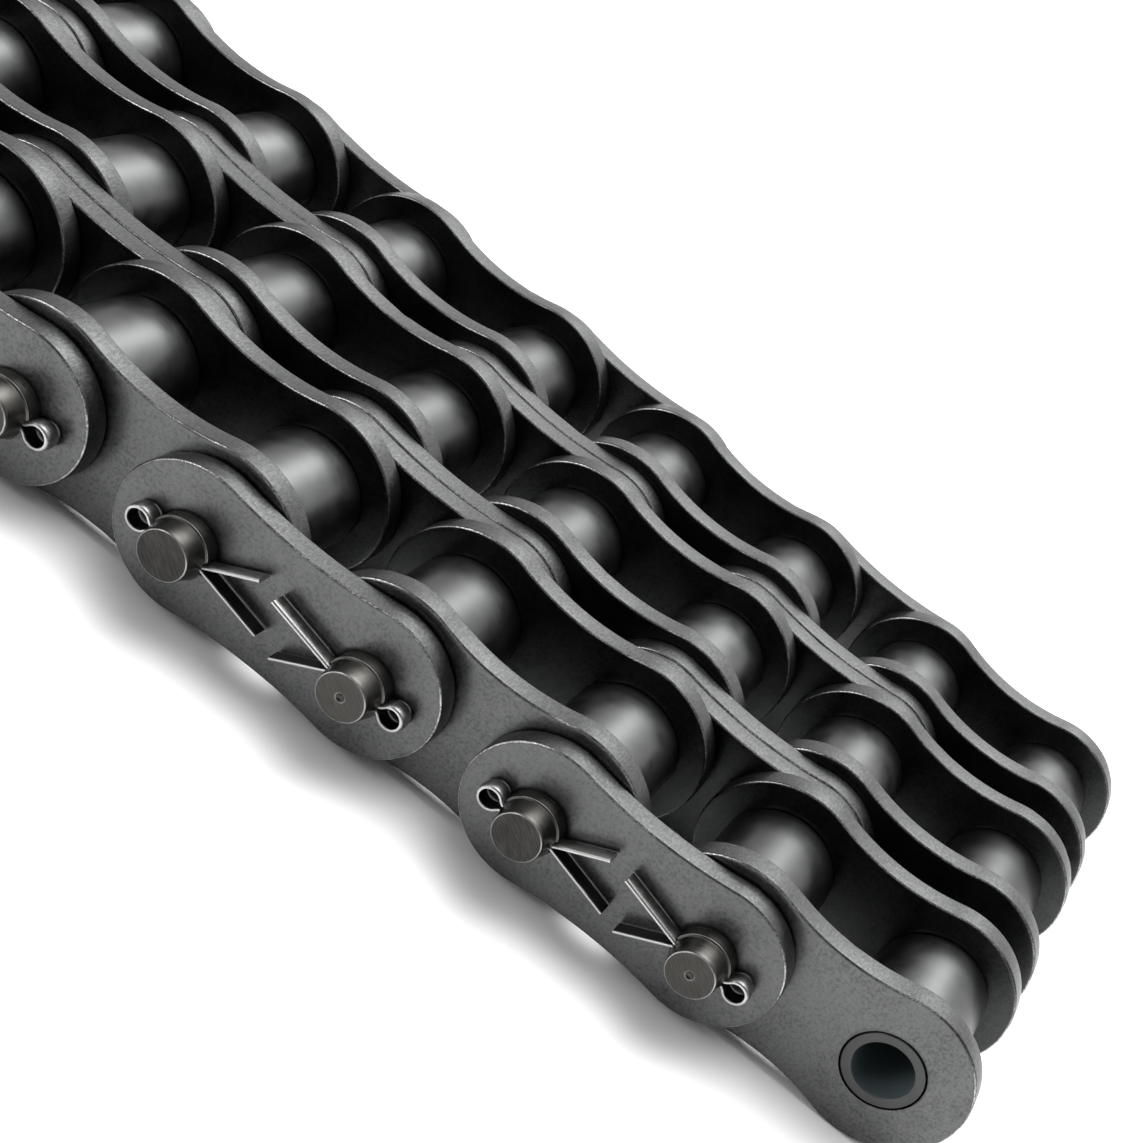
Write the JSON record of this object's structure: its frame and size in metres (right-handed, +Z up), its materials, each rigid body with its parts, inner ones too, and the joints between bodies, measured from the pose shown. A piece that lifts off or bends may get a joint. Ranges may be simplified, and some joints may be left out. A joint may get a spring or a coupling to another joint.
{
  "type": "roller chain",
  "caption": "Triple-strand roller chain with waisted link plates, free-turning rollers on bushes, and long pins held at one end by split cotters; a roller link at each free end.",
  "frame": {"origin": "on the bush axis at one free end, at the middle of the chain's width", "axes": "+X along the chain to the other free end, +Y along the pins away from the cottered side, +Z up"},
  "size_m": [0.252, 0.0942, 0.0234],
  "materials": {
    "plate_steel": "satin",
    "bush_steel": "satin",
    "roller_steel": "satin",
    "pin_steel": "satin",
    "cotter_steel": "satin"
  },
  "bodies": {
    "roller_link_1": {"inner_plates_1": "plate_steel", "bushes_1": "bush_steel"},
    "roller_link_2": {"inner_plates_2": "plate_steel", "bushes_2": "bush_steel"},
    "roller_link_3": {"inner_plates_3": "plate_steel", "bushes_3": "bush_steel"},
    "roller_link_4": {"inner_plates_4": "plate_steel", "bushes_4": "bush_steel"},
    "roller_link_5": {"inner_plates_5": "plate_steel", "bushes_5": "bush_steel"},
    "pin_link_1": {"outer_plate_front_1": "plate_steel", "outer_plate_rear_1": "plate_steel", "middle_plates_1": "plate_steel", "pins_1": "pin_steel", "cotters_1": "cotter_steel"},
    "pin_link_2": {"outer_plate_front_2": "plate_steel", "outer_plate_rear_2": "plate_steel", "middle_plates_2": "plate_steel", "pins_2": "pin_steel", "cotters_2": "cotter_steel"},
    "pin_link_3": {"outer_plate_front_3": "plate_steel", "outer_plate_rear_3": "plate_steel", "middle_plates_3": "plate_steel", "pins_3": "pin_steel", "cotters_3": "cotter_steel"},
    "pin_link_4": {"outer_plate_front_4": "plate_steel", "outer_plate_rear_4": "plate_steel", "middle_plates_4": "plate_steel", "pins_4": "pin_steel", "cotters_4": "cotter_steel"},
    "roller_front_01": {"roller_front_01": "roller_steel"},
    "roller_middle_01": {"roller_middle_01": "roller_steel"},
    "roller_rear_01": {"roller_rear_01": "roller_steel"},
    "roller_front_02": {"roller_front_02": "roller_steel"},
    "roller_middle_02": {"roller_middle_02": "roller_steel"},
    "roller_rear_02": {"roller_rear_02": "roller_steel"},
    "roller_front_03": {"roller_front_03": "roller_steel"},
    "roller_middle_03": {"roller_middle_03": "roller_steel"},
    "roller_rear_03": {"roller_rear_03": "roller_steel"},
    "roller_front_04": {"roller_front_04": "roller_steel"},
    "roller_middle_04": {"roller_middle_04": "roller_steel"},
    "roller_rear_04": {"roller_rear_04": "roller_steel"},
    "roller_front_05": {"roller_front_05": "roller_steel"},
    "roller_middle_05": {"roller_middle_05": "roller_steel"},
    "roller_rear_05": {"roller_rear_05": "roller_steel"},
    "roller_front_06": {"roller_front_06": "roller_steel"},
    "roller_middle_06": {"roller_middle_06": "roller_steel"},
    "roller_rear_06": {"roller_rear_06": "roller_steel"},
    "roller_front_07": {"roller_front_07": "roller_steel"},
    "roller_middle_07": {"roller_middle_07": "roller_steel"},
    "roller_rear_07": {"roller_rear_07": "roller_steel"},
    "roller_front_08": {"roller_front_08": "roller_steel"},
    "roller_middle_08": {"roller_middle_08": "roller_steel"},
    "roller_rear_08": {"roller_rear_08": "roller_steel"},
    "roller_front_09": {"roller_front_09": "roller_steel"},
    "roller_middle_09": {"roller_middle_09": "roller_steel"},
    "roller_rear_09": {"roller_rear_09": "roller_steel"},
    "roller_front_10": {"roller_front_10": "roller_steel"},
    "roller_middle_10": {"roller_middle_10": "roller_steel"},
    "roller_rear_10": {"roller_rear_10": "roller_steel"}
  },
  "joints": [
    {"name": "hinge_1", "type": "hinge", "parent": "pin_link_1", "child": "roller_link_1", "pos_m": [0.0254, 0, 0], "axis": [0, -1, 0], "range_deg": [-110, 110]},
    {"name": "hinge_2", "type": "hinge", "parent": "roller_link_2", "child": "pin_link_1", "pos_m": [0.0508, 0, 0], "axis": [0, 1, 0], "range_deg": [-110, 110]},
    {"name": "hinge_3", "type": "hinge", "parent": "pin_link_2", "child": "roller_link_2", "pos_m": [0.0762, 0, 0], "axis": [0, -1, 0], "range_deg": [-110, 110]},
    {"name": "hinge_4", "type": "hinge", "parent": "roller_link_3", "child": "pin_link_2", "pos_m": [0.1016, 0, 0], "axis": [0, 1, 0], "range_deg": [-110, 110]},
    {"name": "hinge_5", "type": "hinge", "parent": "roller_link_3", "child": "pin_link_3", "pos_m": [0.127, 0, 0], "axis": [0, 1, 0], "range_deg": [-110, 110]},
    {"name": "hinge_6", "type": "hinge", "parent": "pin_link_3", "child": "roller_link_4", "pos_m": [0.1524, 0, 0], "axis": [0, -1, 0], "range_deg": [-110, 110]},
    {"name": "hinge_7", "type": "hinge", "parent": "roller_link_4", "child": "pin_link_4", "pos_m": [0.1778, 0, 0], "axis": [0, 1, 0], "range_deg": [-110, 110]},
    {"name": "hinge_8", "type": "hinge", "parent": "pin_link_4", "child": "roller_link_5", "pos_m": [0.2032, 0, 0], "axis": [0, -1, 0], "range_deg": [-110, 110]},
    {"name": "spin_front_01", "type": "hinge", "parent": "roller_link_1", "child": "roller_front_01", "pos_m": [0, -0.02929, 0], "axis": [0, 1, 0], "continuous": true},
    {"name": "spin_middle_01", "type": "hinge", "parent": "roller_link_1", "child": "roller_middle_01", "pos_m": [0, 0, 0], "axis": [0, 1, 0], "continuous": true},
    {"name": "spin_rear_01", "type": "hinge", "parent": "roller_link_1", "child": "roller_rear_01", "pos_m": [0, 0.02929, 0], "axis": [0, 1, 0], "continuous": true},
    {"name": "spin_front_02", "type": "hinge", "parent": "roller_link_1", "child": "roller_front_02", "pos_m": [0.0254, -0.02929, 0], "axis": [0, 1, 0], "continuous": true},
    {"name": "spin_middle_02", "type": "hinge", "parent": "roller_link_1", "child": "roller_middle_02", "pos_m": [0.0254, 0, 0], "axis": [0, 1, 0], "continuous": true},
    {"name": "spin_rear_02", "type": "hinge", "parent": "roller_link_1", "child": "roller_rear_02", "pos_m": [0.0254, 0.02929, 0], "axis": [0, 1, 0], "continuous": true},
    {"name": "spin_front_03", "type": "hinge", "parent": "roller_link_2", "child": "roller_front_03", "pos_m": [0.0508, -0.02929, 0], "axis": [0, 1, 0], "continuous": true},
    {"name": "spin_middle_03", "type": "hinge", "parent": "roller_link_2", "child": "roller_middle_03", "pos_m": [0.0508, 0, 0], "axis": [0, 1, 0], "continuous": true},
    {"name": "spin_rear_03", "type": "hinge", "parent": "roller_link_2", "child": "roller_rear_03", "pos_m": [0.0508, 0.02929, 0], "axis": [0, 1, 0], "continuous": true},
    {"name": "spin_front_04", "type": "hinge", "parent": "roller_link_2", "child": "roller_front_04", "pos_m": [0.0762, -0.02929, 0], "axis": [0, 1, 0], "continuous": true},
    {"name": "spin_middle_04", "type": "hinge", "parent": "roller_link_2", "child": "roller_middle_04", "pos_m": [0.0762, 0, 0], "axis": [0, 1, 0], "continuous": true},
    {"name": "spin_rear_04", "type": "hinge", "parent": "roller_link_2", "child": "roller_rear_04", "pos_m": [0.0762, 0.02929, 0], "axis": [0, 1, 0], "continuous": true},
    {"name": "spin_front_05", "type": "hinge", "parent": "roller_link_3", "child": "roller_front_05", "pos_m": [0.1016, -0.02929, 0], "axis": [0, 1, 0], "continuous": true},
    {"name": "spin_middle_05", "type": "hinge", "parent": "roller_link_3", "child": "roller_middle_05", "pos_m": [0.1016, 0, 0], "axis": [0, 1, 0], "continuous": true},
    {"name": "spin_rear_05", "type": "hinge", "parent": "roller_link_3", "child": "roller_rear_05", "pos_m": [0.1016, 0.02929, 0], "axis": [0, 1, 0], "continuous": true},
    {"name": "spin_front_06", "type": "hinge", "parent": "roller_link_3", "child": "roller_front_06", "pos_m": [0.127, -0.02929, 0], "axis": [0, 1, 0], "continuous": true},
    {"name": "spin_middle_06", "type": "hinge", "parent": "roller_link_3", "child": "roller_middle_06", "pos_m": [0.127, 0, 0], "axis": [0, 1, 0], "continuous": true},
    {"name": "spin_rear_06", "type": "hinge", "parent": "roller_link_3", "child": "roller_rear_06", "pos_m": [0.127, 0.02929, 0], "axis": [0, 1, 0], "continuous": true},
    {"name": "spin_front_07", "type": "hinge", "parent": "roller_link_4", "child": "roller_front_07", "pos_m": [0.1524, -0.02929, 0], "axis": [0, 1, 0], "continuous": true},
    {"name": "spin_middle_07", "type": "hinge", "parent": "roller_link_4", "child": "roller_middle_07", "pos_m": [0.1524, 0, 0], "axis": [0, 1, 0], "continuous": true},
    {"name": "spin_rear_07", "type": "hinge", "parent": "roller_link_4", "child": "roller_rear_07", "pos_m": [0.1524, 0.02929, 0], "axis": [0, 1, 0], "continuous": true},
    {"name": "spin_front_08", "type": "hinge", "parent": "roller_link_4", "child": "roller_front_08", "pos_m": [0.1778, -0.02929, 0], "axis": [0, 1, 0], "continuous": true},
    {"name": "spin_middle_08", "type": "hinge", "parent": "roller_link_4", "child": "roller_middle_08", "pos_m": [0.1778, 0, 0], "axis": [0, 1, 0], "continuous": true},
    {"name": "spin_rear_08", "type": "hinge", "parent": "roller_link_4", "child": "roller_rear_08", "pos_m": [0.1778, 0.02929, 0], "axis": [0, 1, 0], "continuous": true},
    {"name": "spin_front_09", "type": "hinge", "parent": "roller_link_5", "child": "roller_front_09", "pos_m": [0.2032, -0.02929, 0], "axis": [0, 1, 0], "continuous": true},
    {"name": "spin_middle_09", "type": "hinge", "parent": "roller_link_5", "child": "roller_middle_09", "pos_m": [0.2032, 0, 0], "axis": [0, 1, 0], "continuous": true},
    {"name": "spin_rear_09", "type": "hinge", "parent": "roller_link_5", "child": "roller_rear_09", "pos_m": [0.2032, 0.02929, 0], "axis": [0, 1, 0], "continuous": true},
    {"name": "spin_front_10", "type": "hinge", "parent": "roller_link_5", "child": "roller_front_10", "pos_m": [0.2286, -0.02929, 0], "axis": [0, 1, 0], "continuous": true},
    {"name": "spin_middle_10", "type": "hinge", "parent": "roller_link_5", "child": "roller_middle_10", "pos_m": [0.2286, 0, 0], "axis": [0, 1, 0], "continuous": true},
    {"name": "spin_rear_10", "type": "hinge", "parent": "roller_link_5", "child": "roller_rear_10", "pos_m": [0.2286, 0.02929, 0], "axis": [0, 1, 0], "continuous": true}
  ]
}
